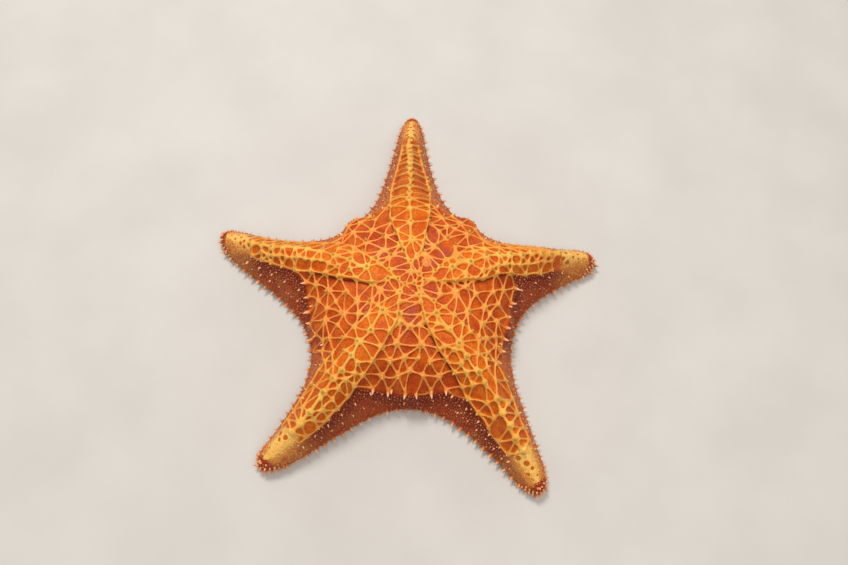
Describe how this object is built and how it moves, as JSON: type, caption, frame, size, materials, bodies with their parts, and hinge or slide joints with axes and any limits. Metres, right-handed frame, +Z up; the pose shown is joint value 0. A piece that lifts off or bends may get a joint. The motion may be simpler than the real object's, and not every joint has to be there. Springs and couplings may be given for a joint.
{
  "type": "cushion sea star",
  "caption": "Life-size cushion sea star lying mouth down, with a thick domed disc, tapering arms, edge cones and tube-foot grooves underneath.",
  "frame": {"origin": "on the floor, in the middle of the box round the arms and disc", "axes": "+Z up, away from the floor that the mouth side lies on; +Y towards the tip of arm_1, within a few degrees; +X to the right seen from above"},
  "size_m": [0.227, 0.2289, 0.0512],
  "materials": {
    "skin": "damp, granular skin, orange with a paler raised network",
    "feet": "soft, smooth and pale",
    "stone": "chalky, finely grooved",
    "membrane": "soft and damp"
  },
  "bodies": {
    "root": {"disc": "skin", "arm_1": "skin", "arm_2": "skin", "arm_3": "skin", "arm_4": "skin", "arm_5": "skin", "tube_feet_1": "feet", "tube_feet_2": "feet", "tube_feet_3": "feet", "tube_feet_4": "feet", "tube_feet_5": "feet", "sieve_plate": "stone", "mouth": "membrane"}
  },
  "joints": []
}
